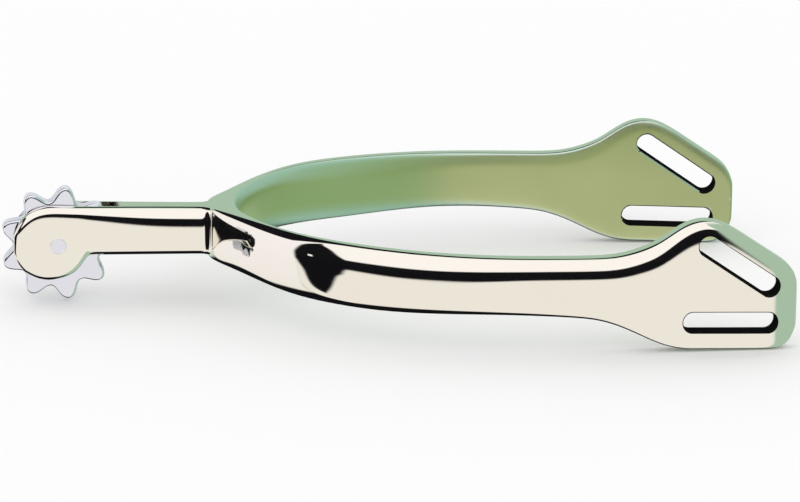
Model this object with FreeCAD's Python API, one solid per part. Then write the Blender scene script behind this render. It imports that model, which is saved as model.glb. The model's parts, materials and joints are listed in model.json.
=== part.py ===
"""Rowel spur: a forged heel band with slotted end plates, a forked neck, a toothed rowel and its pin.

Design frame: X runs from the neck towards the ends of the band, Y across the heel, Z up.
X = 0 is the shoulder where the neck meets the band, and Z = 0 is mid-height of the band there.
At the end the whole spur is shifted so that its bounding box stands centred on the origin.
"""
import FreeCAD, Part
import math
import os

from FreeCAD import Vector

# ---- heel band -------------------------------------------------------------------------------
BAND_THICKNESS = 3.7        # legs and end plates, measured square to their faces
ROOT_THICKNESS = 5.9        # solid metal behind the heel, where the two legs meet
HALF_SPACING = 35.6         # widest half-distance between the mid-planes of the two legs
PLATE_TOE_IN = math.radians(3.0)    # the end plates close in a little on the boot
TOE_IN_START = 58.0         # where the straight leg starts to close in
PLATE_END = 94.25           # X of the far edge of the end plates
PLATE_BOTTOM = -11.7        # lowest corner of the end plates
PLATE_FALL = math.radians(1.4)      # lower edge and lower slot dip towards the end
PLATE_SLOPE = math.radians(34.0)    # slanted upper edge, and the upper slot along it
OUTER_ROUND = 2.0           # rounding of the long outer edges
INNER_ROUND = 0.6           # rounding of the edges that face the boot

# Bends of one leg from above, as (X, Y): the outer face leaves the neck at 60 degrees, and the
# inner face starts square to X behind the heel.
LEG_HEADING = Vector(1.0, 1.75, 0.0)
OUTER_BEND = [(3.2, 9.0), (8.2, 18.4), (14.5, 25.9), (24.0, 31.6), (35.0, 35.8)]
INNER_BEND = [(7.2, 8.2), (11.6, 16.9), (17.3, 23.4), (25.6, 28.3), (36.0, 32.2)]
STRAIGHT_START = 47.0       # X where the leg has reached its full spacing
STRAIGHT_EASE = 0.1         # closing in between there and TOE_IN_START

# Leg and end plate from the side, as (X, Z). The corners are where straight runs would meet.
UPPER_EDGE = [(-1.0, 4.7), (6.0, 4.95), (18.0, 5.05), (36.0, 4.65), (50.0, 4.4)]
LOWER_EDGE = [(42.0, -4.5), (27.0, -5.0), (14.0, -4.75), (6.0, -4.15), (-1.0, -3.6)]
ROOT_RISE = 0.05            # slope of both edges where they start at the neck
UPPER_LEG = (58.0, 4.35)
UPPER_VALLEY = (67.8, 4.35)
CREST = (78.5, 11.65)
HEEL_CORNER_X = 73.2
LOWER_VALLEY = (61.5, -5.25)
LOWER_LEG = (51.0, -4.75)
UPPER_VALLEY_RADIUS = 20.0
CREST_RADIUS = 7.5
TIP_RADIUS = 4.0
TOE_RADIUS = 4.3
HEEL_RADIUS = 7.0
LOWER_VALLEY_RADIUS = 34.0

# ---- strap slots -----------------------------------------------------------------------------
SLOT_LENGTH = 15.7
SLOT_WIDTH = 3.4
LOWER_SLOT_CENTRE = (83.15, -6.8)
UPPER_SLOT_CENTRE = (84.4, 2.65)

# ---- neck ------------------------------------------------------------------------------------
NECK_THICKNESS = 6.0        # across the cheeks, along Y
NECK_TOP = 4.6              # at the shoulder; the top edge runs from there to touch the cheek
NECK_BOTTOM = -3.4
NECK_ROUND = 1.2            # rounding of the long edges
CHEEK_X = -25.7             # centre of the neck's round end, a little beyond the pin
CHEEK_RADIUS = 6.1
CHEEK_STRETCH = 0.45        # the round end is this much taller than wide
NOTCH_RADIUS = 0.5          # inside corner where the round end meets the underside
FORK_WIDTH = 3.0
FORK_END = -14.2            # X of the bottom of the fork
TENON_RADIUS = 2.0          # spigot of the neck, brazed into the band
TENON_LENGTH = 3.5
BRAZE_GAP = 0.03            # radial gap and end gap that the braze fills

# ---- rowel and pin ---------------------------------------------------------------------------
PIN_X = -24.4
PIN_Z = -1.6
TEETH = 9
FIRST_TOOTH = math.radians(81.75)   # from +X towards +Z
ROWEL_TIP_RADIUS = 9.6
ROWEL_ROOT_RADIUS = 7.3
TOOTH_TIP_ROUND = 1.1
VALLEY_ROUND = 1.4
ROWEL_THICKNESS = 2.5
ROWEL_ROUND = 0.35          # rounding of both rims of the rowel
PIN_RADIUS = 1.1
PIN_CLEARANCE = 0.05        # radial running clearance in the rowel's bore
PIN_HEAD_RADIUS = 1.35      # peened flush in a countersink in each cheek
PIN_HEAD_DEPTH = 0.35

TALL = 60.0                 # reach of the cutting and trimming solids past the model


# ---- small helpers ---------------------------------------------------------------------------
def line(start, end):
    return Part.LineSegment(start, end).toShape()


def arc(start, middle, end):
    return Part.Arc(start, middle, end).toShape()


def spline(points, start_tangent, end_tangent):
    curve = Part.BSplineCurve()
    curve.interpolate(Points=points, InitialTangent=start_tangent, FinalTangent=end_tangent)
    return curve.toShape()


def flat(x, y):
    """A point of the plan outline."""
    return Vector(x, y, 0.0)


def side(x, z):
    """A point of the side outline."""
    return Vector(x, 0.0, z)


def at_angle(radius, angle):
    return side(radius * math.cos(angle), radius * math.sin(angle))


def slab(edges, direction):
    """Closed outline, extruded along one axis."""
    return Part.Face(Part.Wire(Part.__sortEdges__(edges))).extrude(direction)


def rounded_corner(before, corner, after, radius):
    """Start, middle and end of the arc that rounds the corner of two straight runs."""
    to_before = (before - corner).normalize()
    to_after = (after - corner).normalize()
    half = to_before.getAngle(to_after) / 2.0
    bisector = (to_before + to_after).normalize()
    centre = corner + bisector * (radius / math.sin(half))
    reach = radius / math.tan(half)
    return corner + to_before * reach, centre - bisector * radius, corner + to_after * reach


def mirrored(shape):
    return shape.mirror(Vector(0.0, 0.0, 0.0), Vector(0.0, 1.0, 0.0))


# ---- heel band -------------------------------------------------------------------------------
def leg_face(start, bend, offset, start_tangent, end_x):
    """One face of the leg from above: a bend that ends toed in, and the straight up to end_x."""
    slope = Vector(math.cos(PLATE_TOE_IN), -math.sin(PLATE_TOE_IN), 0.0)
    points = [start]
    for x, y in bend:
        points.append(flat(x, y))
    points.append(flat(STRAIGHT_START, HALF_SPACING + offset))
    points.append(flat(TOE_IN_START, HALF_SPACING + offset - STRAIGHT_EASE))
    run = (end_x - TOE_IN_START) * math.tan(PLATE_TOE_IN)
    end = flat(end_x, points[-1].y - run)
    return [spline(points, start_tangent, slope), line(points[-1], end)], end


def band_plan():
    """One half of the band from above: outer face, end, inner face and the cut at Y = 0."""
    half = BAND_THICKNESS / 2.0
    beyond = PLATE_END + 1.0
    middle = flat(0.0, 0.0)
    outer_start = flat(0.0, NECK_THICKNESS / 2.0)
    inner_start = flat(ROOT_THICKNESS, 0.0)
    outer, outer_end = leg_face(outer_start, OUTER_BEND, half, LEG_HEADING, beyond)
    inner, inner_end = leg_face(inner_start, INNER_BEND, -half, Vector(0.0, 1.0, 0.0), beyond)
    closing = [line(middle, outer_start), line(outer_end, inner_end), line(inner_start, middle)]
    return outer + inner + closing


def plate_corners():
    """The six rounded corners of the side outline, from the top of the leg to its underside."""
    tip = (PLATE_END, CREST[1] - (PLATE_END - CREST[0]) * math.tan(PLATE_SLOPE))
    toe = (PLATE_END, PLATE_BOTTOM)
    heel = (HEEL_CORNER_X, PLATE_BOTTOM + (PLATE_END - HEEL_CORNER_X) * math.tan(PLATE_FALL))
    run = [UPPER_LEG, UPPER_VALLEY, CREST, tip, toe, heel, LOWER_VALLEY, LOWER_LEG]
    radii = [UPPER_VALLEY_RADIUS, CREST_RADIUS, TIP_RADIUS, TOE_RADIUS, HEEL_RADIUS, LOWER_VALLEY_RADIUS]
    corners = []
    for index, radius in enumerate(radii):
        before, corner, after = run[index:index + 3]
        corners.append(rounded_corner(side(*before), side(*corner), side(*after), radius))
    return corners


def band_side():
    """The band from the side: gently waved leg, flared end plate with a slanted upper edge."""
    corners = plate_corners()
    edges = []
    for index, (start, middle, end) in enumerate(corners):
        if index > 0:
            edges.append(line(corners[index - 1][2], start))
        edges.append(arc(start, middle, end))
    upper = [side(*point) for point in UPPER_EDGE] + [corners[0][0]]
    lower = [corners[-1][2]] + [side(*point) for point in LOWER_EDGE]
    underside = side(*LOWER_LEG) - side(*LOWER_VALLEY)
    edges.append(spline(upper, Vector(1.0, 0.0, ROOT_RISE), Vector(1.0, 0.0, 0.0)))
    edges.append(spline(lower, underside, Vector(-1.0, 0.0, ROOT_RISE)))
    edges.append(line(lower[-1], upper[0]))
    return edges


def strap_slot(centre, tilt):
    """Cutter for a full-round slot through the end plate, square to the leg."""
    reach = (SLOT_LENGTH - SLOT_WIDTH) / 2.0
    half = SLOT_WIDTH / 2.0
    edges = [
        line(side(-reach, half), side(reach, half)),
        arc(side(reach, half), side(reach + half, 0.0), side(reach, -half)),
        line(side(reach, -half), side(-reach, -half)),
        arc(side(-reach, -half), side(-reach - half, 0.0), side(-reach, half)),
    ]
    cutter = slab(edges, Vector(0.0, TALL, 0.0))
    cutter.rotate(Vector(0.0, 0.0, 0.0), Vector(0.0, 1.0, 0.0), math.degrees(tilt))
    cutter.translate(side(centre[0], centre[1]))
    return cutter


def rim_edges(leg, facing):
    """Edges round the outer (facing = 1) or inner (facing = -1) face of one leg and its plate."""
    edges = []
    for face in leg.Faces:
        first_u, last_u, first_v, last_v = face.ParameterRange
        normal = face.normalAt((first_u + last_u) / 2.0, (first_v + last_v) / 2.0)
        on_root_cut = face.BoundBox.YMax < 0.01
        if normal.y * facing < 0.5 or on_root_cut:
            continue
        for edge in face.Edges:
            start = edge.Vertexes[0].Point
            end = edge.Vertexes[-1].Point
            upright = math.hypot(start.x - end.x, start.y - end.y) < 0.01
            if not upright or start.x > PLATE_END - 0.1:
                edges.append(edge)
    return edges


def half_band():
    plan = slab(band_plan(), Vector(0.0, 0.0, TALL))
    plan.translate(Vector(0.0, 0.0, -TALL / 2.0))
    leg = plan.common(slab(band_side(), Vector(0.0, TALL, 0.0)))
    leg = leg.makeFillet(OUTER_ROUND, rim_edges(leg, 1))
    leg = leg.makeFillet(INNER_ROUND, rim_edges(leg, -1))
    leg = leg.cut(strap_slot(LOWER_SLOT_CENTRE, PLATE_FALL))
    return leg.cut(strap_slot(UPPER_SLOT_CENTRE, PLATE_SLOPE))


def heel_band():
    """Both legs joined behind the heel, with the blind hole for the neck's tenon."""
    leg = half_band()
    band = leg.fuse(mirrored(leg)).removeSplitter()
    hole = Part.makeCylinder(TENON_RADIUS + BRAZE_GAP, TENON_LENGTH + BRAZE_GAP, Vector(0.0, 0.0, 0.0),
                             Vector(1.0, 0.0, 0.0))
    return band.cut(hole)


# ---- neck ------------------------------------------------------------------------------------
def neck_side():
    """Straight shank and the round cheek below its end, with a small rounded notch between them."""
    centre = side(CHEEK_X, PIN_Z)
    upper_centre = side(CHEEK_X, PIN_Z + CHEEK_STRETCH)
    top_end = side(0.0, NECK_TOP)
    apart = top_end - upper_centre
    touch_angle = math.atan2(apart.z, apart.x) + math.acos(CHEEK_RADIUS / apart.Length)
    top_touch = upper_centre + at_angle(CHEEK_RADIUS, touch_angle)
    upper_left = upper_centre + at_angle(CHEEK_RADIUS, math.pi)
    lower_left = centre + at_angle(CHEEK_RADIUS, math.pi)
    below = PIN_Z - NECK_BOTTOM
    notch_reach = math.sqrt((CHEEK_RADIUS + NOTCH_RADIUS) ** 2 - (below - NOTCH_RADIUS) ** 2)
    notch_centre = side(CHEEK_X + notch_reach, NECK_BOTTOM - NOTCH_RADIUS)
    on_cheek = centre + (notch_centre - centre) * (CHEEK_RADIUS / (CHEEK_RADIUS + NOTCH_RADIUS))
    on_shank = notch_centre + side(0.0, NOTCH_RADIUS)
    between = ((on_cheek - notch_centre) + (on_shank - notch_centre)).normalize() * NOTCH_RADIUS
    return [
        line(top_end, top_touch),
        arc(top_touch, upper_centre + at_angle(CHEEK_RADIUS, (touch_angle + math.pi) / 2.0), upper_left),
        line(upper_left, lower_left),
        arc(lower_left, centre + at_angle(CHEEK_RADIUS, 1.5 * math.pi), on_cheek),
        arc(on_cheek, notch_centre + between, on_shank),
        line(on_shank, side(0.0, NECK_BOTTOM)),
        line(side(0.0, NECK_BOTTOM), top_end),
    ]


def pin_hole():
    """Through hole with a countersink in the outer face of each cheek."""
    across = Vector(0.0, 1.0, 0.0)
    half = NECK_THICKNESS / 2.0
    hole = Part.makeCylinder(PIN_RADIUS, NECK_THICKNESS, Vector(PIN_X, -half, PIN_Z), across)
    sink = Part.makeCone(PIN_RADIUS, PIN_HEAD_RADIUS, PIN_HEAD_DEPTH,
                         Vector(PIN_X, half - PIN_HEAD_DEPTH, PIN_Z), across)
    return hole.fuse([sink, mirrored(sink)])


def neck():
    """Forked shank with a spigot that is brazed into the band."""
    shank = slab(neck_side(), Vector(0.0, NECK_THICKNESS, 0.0))
    shank.translate(Vector(0.0, -NECK_THICKNESS / 2.0, 0.0))
    for cheek in (-1.0, 1.0):
        long_edges = []
        for edge in shank.Edges:
            box = edge.BoundBox
            on_cheek = box.YLength < 0.01 and box.Center.y * cheek > NECK_THICKNESS / 2.0 - 0.01
            if on_cheek and box.XLength > 0.01:
                long_edges.append(edge)
        shank = shank.makeFillet(NECK_ROUND, long_edges)
    fork = Part.makeBox(TALL, FORK_WIDTH, TALL, Vector(FORK_END - TALL, -FORK_WIDTH / 2.0, -TALL / 2.0))
    tenon = Part.makeCylinder(TENON_RADIUS, TENON_LENGTH, Vector(0.0, 0.0, 0.0), Vector(1.0, 0.0, 0.0))
    return shank.cut(fork).fuse(tenon).cut(pin_hole())


# ---- rowel -----------------------------------------------------------------------------------
def flank(valley_centre, tip_centre, turn):
    """Ends, on the valley and on the tip, of the straight that touches both of their circles."""
    apart = tip_centre - valley_centre
    lean = turn * math.acos((VALLEY_ROUND + TOOTH_TIP_ROUND) / apart.Length)
    heading = math.atan2(apart.z, apart.x) + lean
    return valley_centre + at_angle(VALLEY_ROUND, heading), tip_centre - at_angle(TOOTH_TIP_ROUND, heading)


def rowel_outline():
    """Round-tipped teeth and round valleys, joined by straight flanks tangent to both."""
    half_pitch = math.pi / TEETH
    tip_distance = ROWEL_TIP_RADIUS - TOOTH_TIP_ROUND
    valley_distance = ROWEL_ROOT_RADIUS + VALLEY_ROUND
    flanks = []
    for tooth in range(TEETH):
        axis = FIRST_TOOTH + tooth * 2.0 * half_pitch
        tip_centre = at_angle(tip_distance, axis)
        flanks.append(flank(at_angle(valley_distance, axis - half_pitch), tip_centre, 1.0))
        flanks.append(flank(at_angle(valley_distance, axis + half_pitch), tip_centre, -1.0))
    edges = []
    for tooth in range(TEETH):
        axis = FIRST_TOOTH + tooth * 2.0 * half_pitch
        rising = flanks[2 * tooth]
        falling = flanks[2 * tooth + 1]
        next_rising = flanks[(2 * tooth + 2) % len(flanks)]
        edges.append(line(rising[0], rising[1]))
        edges.append(arc(rising[1], at_angle(ROWEL_TIP_RADIUS, axis), falling[1]))
        edges.append(line(falling[1], falling[0]))
        edges.append(arc(falling[0], at_angle(ROWEL_ROOT_RADIUS, axis + half_pitch), next_rising[0]))
    return edges


def rowel():
    wheel = slab(rowel_outline(), Vector(0.0, ROWEL_THICKNESS, 0.0))
    wheel.translate(Vector(PIN_X, -ROWEL_THICKNESS / 2.0, PIN_Z))
    rims = [edge for edge in wheel.Edges if edge.BoundBox.YLength < 0.01]
    wheel = wheel.makeFillet(ROWEL_ROUND, rims)
    bore = Part.makeCylinder(PIN_RADIUS + PIN_CLEARANCE, ROWEL_THICKNESS + 1.0,
                             Vector(PIN_X, -ROWEL_THICKNESS / 2.0 - 0.5, PIN_Z), Vector(0.0, 1.0, 0.0))
    return wheel.cut(bore)


def rowel_pin():
    """Straight rivet, peened into the countersinks so that it ends flush with the cheeks."""
    return pin_hole()


# ---- placing and writing ---------------------------------------------------------------------
def main():
    parts = {
        "heel_band": heel_band(),
        "neck": neck(),
        "rowel": rowel(),
        "rowel_pin": rowel_pin(),
    }
    box = Part.makeCompound(list(parts.values())).optimalBoundingBox(False)
    shift = Vector(-box.Center.x, 0.0, -box.ZMin)
    os.makedirs("parts", exist_ok=True)
    for name, shape in parts.items():
        shape.translate(shift)
        shape.exportStep("parts/" + name + ".step")
        print(name, "valid", shape.isValid(), "solids", len(shape.Solids), "volume", round(shape.Volume, 1))
    print("overall size", round(box.XLength, 2), round(box.YLength, 2), round(box.ZLength, 2))
    print("shift", round(shift.x, 3), round(shift.z, 3))
    print("rowel axis", round(PIN_X + shift.x, 3), round(PIN_Z + shift.z, 3))


main()
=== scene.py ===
"""A rowel spur in pale gold nickel: a heel band with two slotted plates, a forked neck,
and a nine-toothed star rowel turning on its pin."""
import json
import math

import bmesh
import bpy
from mathutils import Matrix, Vector


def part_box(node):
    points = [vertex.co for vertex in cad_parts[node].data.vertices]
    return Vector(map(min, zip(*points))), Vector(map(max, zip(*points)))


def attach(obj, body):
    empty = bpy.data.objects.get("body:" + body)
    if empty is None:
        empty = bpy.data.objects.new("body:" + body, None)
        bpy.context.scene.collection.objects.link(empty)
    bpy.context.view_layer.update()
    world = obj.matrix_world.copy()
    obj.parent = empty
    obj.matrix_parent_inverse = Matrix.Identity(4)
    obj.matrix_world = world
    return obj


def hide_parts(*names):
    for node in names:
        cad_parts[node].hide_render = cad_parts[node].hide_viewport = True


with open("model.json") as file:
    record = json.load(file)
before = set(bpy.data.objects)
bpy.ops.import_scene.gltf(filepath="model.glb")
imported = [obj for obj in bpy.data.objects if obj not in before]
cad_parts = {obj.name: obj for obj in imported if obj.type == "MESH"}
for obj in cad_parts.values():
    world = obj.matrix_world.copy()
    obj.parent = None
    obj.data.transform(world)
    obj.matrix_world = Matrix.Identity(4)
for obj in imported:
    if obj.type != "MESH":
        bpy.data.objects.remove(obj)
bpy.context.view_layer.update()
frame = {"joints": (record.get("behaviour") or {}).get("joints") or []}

MM = 0.001

# The spur's own origin is where the neck meets the band, at half the band's height.
# The rowel's axis in the frame says where that is.
ROWEL_AXIS = Vector(frame["joints"][0]["pos_m"])
AXIS_FROM_ORIGIN = Vector((-24.4, 0.0, -1.6)) * MM
ORIGIN = ROWEL_AXIS - AXIS_FROM_ORIGIN

# ---------------------------------------------------------------- tolerances, in metres, and edges
SMOOTH = ("SUBSURF", {"levels": 3, "render_levels": 3})
TOUCH = 1e-5             # places closer than this are one level
SAME_LEVEL = TOUCH / 4   # and this tells the rows of one cross-section apart
WELD = 1e-6              # the mirrored halves join within this
OFF_MIDDLE = 1e-7        # anything further out than this is to one side
NO_STEP = 1e-8           # smaller moves are left out
ROUND_POINTS = 64        # points round the pin and the slot cutters
# edges turned by more than this stay crisp
FORGED_EDGE = math.radians(30)
TURNED_EDGE = math.radians(35)

# ---------------------------------------------------------------- heel band, in mm
GRID_RISE = 0.5          # where the first grid of a piece stands, before it is shaped
BAND_THICKNESS = 3.7
ROOT_THICKNESS = 5.9
# mid-line of one branch in plan: x, y, heading in degrees, thickness
NOSE_STEPS = [
    (2.95, 0.0, 90.0, 5.9),
    (3.2, 3.2, 75.0, 5.6),
    (4.7, 7.1, 63.0, 4.3),
    (7.4, 12.8, 60.0, 3.75),
    (10.2, 17.3, 56.0, 3.7),
    (13.0, 20.9, 48.0, 3.7),
    (16.3, 24.2, 40.5, 3.7),
    (20.2, 27.1, 33.0, 3.7),
    (25.0, 29.8, 27.0, 3.7),
    (30.5, 32.2, 21.0, 3.7),
    (36.5, 34.1, 14.0, 3.7),
    (43.0, 35.3, 7.0, 3.7),
    (50.0, 35.65, 1.0, 3.7),
    (57.0, 35.5, -2.0, 3.7),
]
# the plates turn in towards the boot from here on
TOE_IN = -3.0
TOE_IN_START = 58.0
TOE_IN_Y = 35.5
# top and bottom edges of the branch: x, z
LEG_TOP = [(0, 4.8), (6, 4.95), (18, 5.05), (36, 4.65), (50, 4.4), (57, 4.33)]
LEG_BOTTOM = [(0, -3.9), (6, -4.5), (14, -5.25), (27, -5.65), (42, -5.0), (51, -5.1), (57, -5.5)]
# outline of the slotted plate: x, top, bottom, and how far its outer face is rounded away
PLATE_STEPS = [
    (61.0, 4.3, -5.9, 0.0),
    (64.5, 4.44, -6.95, 0.0),
    (68.0, 5.28, -8.55, 0.0),
    (71.5, 6.7, -10.3, 0.0),
    (75.0, 9.45, -11.25, 0.0),
    (78.5, 10.5, -11.3, 0.0),
    (82.0, 9.7, -11.4, 0.0),
    (86.0, 7.1, -11.5, 0.0),
    (89.5, 4.75, -11.6, 0.0),
    (91.3, 3.6, -11.4, 0.05),
    (92.7, 2.6, -10.7, 0.3),
    (93.8, 1.2, -9.2, 0.8),
    (94.45, -0.9, -7.3, 1.4),
]
# the outer face is crowned below its top edge: distance below the edge, depth of the crown
CROWN = [(0.35, 0.8), (1.1, 0.42), (2.0, 0.17), (3.1, 0.02)]
# and eased above its lower edge, less and less towards the plate
EASE = [(0.0, 1.5), (0.8, 0.55), (2.2, 0.14)]
EASE_ALONG = [(0, 1.0), (25, 1.0), (32, 0.9), (45, 0.6), (57, 0.45), (70, 0.3), (100, 0.3)]
# how much wider the crown spreads, along the branch
SPREAD_ALONG = [(0, 1.0), (12, 1.05), (20, 1.5), (31, 1.65), (38, 1.4), (48, 1.0), (62, 1.0),
                (70, 1.15), (73, 1.4), (75.3, 1.1), (77.8, 0.62), (80, 0.56), (83, 0.7), (100, 0.75)]
# how much deeper it is round the bend
DEPTH_ALONG = [(0, 1.0), (4, 1.2), (12, 1.2), (18, 1.05), (24, 1.0), (100, 1.0)]
# how full it stays low down, which widens the crown's turn into the flat
LOW_ALONG = [(0, 1.0), (12, 0.8), (20, 0.4), (31, 0.4), (38, 0.55), (48, 1.0), (72, 1.0),
             (75.3, 1.5), (77.8, 1.8), (80.5, 1.5), (83, 1.0), (100, 1.0)]
# and the depth right at its top edge
EDGE_ALONG = [(0, 1.6), (13, 1.6), (20, 1.15), (28, 0.95), (100, 0.95)]
# the line of the cage that keeps the inner face firm, this far from it
INNER_LINE = 0.7
# the inner face is rounded at its edges, most near the nose: depth at the rows from each edge
INNER_TOP = [0.8, 0.5, 0.25]
INNER_BOTTOM = [1.1, 0.6, 0.1]
INNER_ALONG = [(0, 1.4), (8, 1.3), (20, 1.0), (35, 0.6), (55, 0.3), (100, 0.3)]
# where the crown meets the rounded end of the plate, this much of the smaller one is added
OVERLAP = 0.3
REACH = 8 * MM           # a cross-section lies within this distance of its middle
# at the nose the crown and the ease fade out where the neck stands against the band
NOSE_FADE = [0.25, 0.35, 0.7]

# strap slots in the plates: centre x, centre z, fall of the slot in degrees
STRAP_SLOTS = [(83.15, -6.8, 1.4), (84.4, 2.65, 34.0)]
SLOT_LENGTH = 15.7
SLOT_WIDTH = 3.4
SLOT_FLARE = 0.2

# ---------------------------------------------------------------- neck, in mm
NECK_HALF = 3.0
NECK_TOP = 4.6
NECK_TOP_AT_CHEEK = 4.95
NECK_BOTTOM = -3.4
CHEEK_X = -25.7
CHEEK_Z = -1.6
CHEEK_RADIUS = 6.1
CHEEK_STRETCH = 0.45
FORK_WIDTH = 3.0
FORK_END = -14.2
FORK_EASE = 0.4
FORK_OVERRUN = 4.0       # the fork's cutter runs out past the cheek and above and below it
FORK_HEIGHT = 30.0
# the neck's sides are crowned below their top edges and eased above their lower ones:
# distance from the edge, depth
NECK_CROWN = [(0.0, 1.38), (0.3, 0.8), (0.9, 0.47), (1.7, 0.24), (2.8, 0.05)]
NECK_EASE = [(0.0, 0.95), (0.45, 0.35), (1.3, 0.03)]
# the crown thins out towards the cheek, and its outer end has a plain rim
CROWN_ALONG_NECK = [(-21.5, 0.6), (-9.0, 1.0)]
CHEEK_RIM = [(0.0, 0.8), (0.55, 0.13), (0.85, 0.03), (1.3, 0.0)]
RIM_START = 1.0          # how far beyond the cheek's centre the rim begins to take over
RIM_RUN = 3.0            # and over what length it does so
CAGE_GROWTH = 1.02       # the cage of the cheek is this many times its size
# cross-sections of the neck: where the braze swells it (x, half width), the straight part (x),
# the throat under the cheek (x, drop of the lower edge) and the cheek (degrees round it)
BRAZE = [(1.6, 4.1), (0.9, 4.0), (0.3, 3.55), (-0.25, 3.15), (-0.8, 3.02), (-2.0, 3.0)]
STRAIGHT = [-8.0, -12.0, -15.0, -17.5, -19.0]
THROAT = [(-19.6, 0.35), (-20.2, 1.3), (-21.0, 2.5), (-22.7, 3.8)]
ROUND_CHEEK = [0, 20, 36, 50, 62, 72, 79]

# ---------------------------------------------------------------- rowel and pin, in mm
TEETH = 9
FIRST_TOOTH = 81.75      # degrees from X towards Z
ROWEL_TIP = 9.6
ROWEL_ROOT = 7.3
ROWEL_THICKNESS = 2.5
ROWEL_BORE = 1.15
TOOTH_BLUNTING = 0.03    # share of the third harmonic that rounds the tips
ROWEL_RIM = 0.3          # both faces eased, and falling off a little towards the rim
RIM_WIDTH = 0.5
RIM_FALL = 0.06
NEAR_RIM = 1.0           # the eased edges lie outside the roots less this
POINTS_PER_TOOTH = 16
SAME_PHASE = 0.05
PIN_RADIUS = 1.35
PIN_LENGTH = 6.0
PIN_SHAFT = 1.1
PIN_HEAD = 0.35
PIN_EASE = 0.08


def spot(x, y, z):
    """A place given in mm from the spur's own origin, in the frame."""
    return ORIGIN + Vector((x, y, z)) * MM


# ---------------------------------------------------------------- bench tools
def start_piece(name):
    """Names the primitive just added and goes into edit mode with its place in the mesh."""
    piece = bpy.context.object
    piece.name = name
    piece.data.name = name
    bpy.ops.object.transform_apply(location=True, rotation=True, scale=True)
    bpy.ops.object.mode_set(mode="EDIT")
    bpy.ops.mesh.select_mode(type="VERT")
    return piece


def clear_bench():
    """Leaves nothing selected."""
    bpy.ops.object.select_all(action="DESELECT")


def take(piece):
    """Selects one piece and makes it the one worked on."""
    clear_bench()
    piece.select_set(True)
    bpy.context.view_layer.objects.active = piece


def pick(test):
    """Selects the vertices whose place passes the test, and what they bound."""
    mesh = bmesh.from_edit_mesh(bpy.context.object.data)
    bpy.ops.mesh.select_all(action="DESELECT")
    for vertex in mesh.verts:
        if test(vertex.co):
            vertex.select_set(True)
    mesh.select_flush(True)
    bmesh.update_edit_mesh(bpy.context.object.data)


def push(offset):
    """Moves what is selected."""
    bpy.ops.transform.translate(value=tuple(offset))


def finish_piece(piece, modifiers):
    """Leaves edit mode and applies the modifiers in turn."""
    bpy.ops.mesh.select_all(action="SELECT")
    bpy.ops.mesh.normals_make_consistent(inside=False)
    bpy.ops.object.mode_set(mode="OBJECT")
    take(piece)
    for kind, settings in modifiers:
        modifier = piece.modifiers.new(kind.title(), kind)
        for key, value in settings.items():
            setattr(modifier, key, value)
        bpy.ops.object.modifier_apply(modifier=modifier.name)


def saw_out(piece, cutter):
    """Cuts the cutter's shape out of a piece and throws the cutter away."""
    take(piece)
    cut = piece.modifiers.new("Cut", "BOOLEAN")
    cut.operation = "DIFFERENCE"
    cut.solver = "EXACT"
    cut.object = cutter
    bpy.ops.object.modifier_apply(modifier=cut.name)
    bpy.data.objects.remove(cutter)


def along(points, x):
    """The height of a line of points at x."""
    if x <= points[0][0]:
        return points[0][1]
    for (x0, z0), (x1, z1) in zip(points, points[1:]):
        if x <= x1:
            return z0 + (z1 - z0) * (x - x0) / (x1 - x0)
    return points[-1][1]


def flatten_shading(piece):
    """Lets the large flat faces keep their own shading up to their eased rims."""
    take(piece)
    modifier = piece.modifiers.new("Flat", "WEIGHTED_NORMAL")
    modifier.keep_sharp = True
    modifier.weight = 100
    bpy.ops.object.modifier_apply(modifier=modifier.name)


# ---------------------------------------------------------------- heel band
def band_stations():
    """The cross-sections of one branch, from the nose to the plate's end."""
    stations = []
    for step, (x, y, heading, thickness) in enumerate(NOSE_STEPS):
        fade = NOSE_FADE[step] if step < len(NOSE_FADE) else 1.0
        stations.append((x, y, heading, thickness, along(LEG_TOP, x), along(LEG_BOTTOM, x), 0.0, fade))
    slope = math.tan(math.radians(TOE_IN))
    for x, top, bottom, rounding in PLATE_STEPS:
        y = TOE_IN_Y + (x - TOE_IN_START) * slope
        stations.append((x, y, TOE_IN, BAND_THICKNESS, top, bottom, rounding, 1.0))
    return stations


def section_points(station):
    """Where each row and column of a cross-section belongs: height, and distance outwards."""
    x, _y, _heading, thickness, top, bottom, rounding, fade = station
    ease = along(EASE_ALONG, x) * fade
    spread = along(SPREAD_ALONG, x)
    deeper = fade * along(DEPTH_ALONG, x)
    rows = [(bottom + rise * along(EASE_ALONG, x), depth * ease) for rise, depth in EASE]
    rows.append(((top + bottom) / 2, 0.0))
    upper, middle, low, last = CROWN
    low = (low[0], low[1] * along(LOW_ALONG, x))
    rows.append((top - last[0] * max(spread, 1.0), last[1] * deeper))
    rows += [(top - drop * spread, depth * deeper) for drop, depth in (low, middle, upper)]
    rows.append((top, along(EDGE_ALONG, x) * deeper))
    inside = along(INNER_ALONG, x)
    inner = [depth * inside for depth in INNER_BOTTOM]
    inner += [0.0] * (len(rows) - len(INNER_BOTTOM) - len(INNER_TOP))
    inner += [depth * inside for depth in reversed(INNER_TOP)]
    half = thickness / 2
    points = []
    for (z, depth), inside in zip(rows, inner):
        away = max(depth, rounding) + OVERLAP * min(depth, rounding)
        points.append((z, (-half + inside, -half + inside + INNER_LINE, half - away)))
    return points


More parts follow.
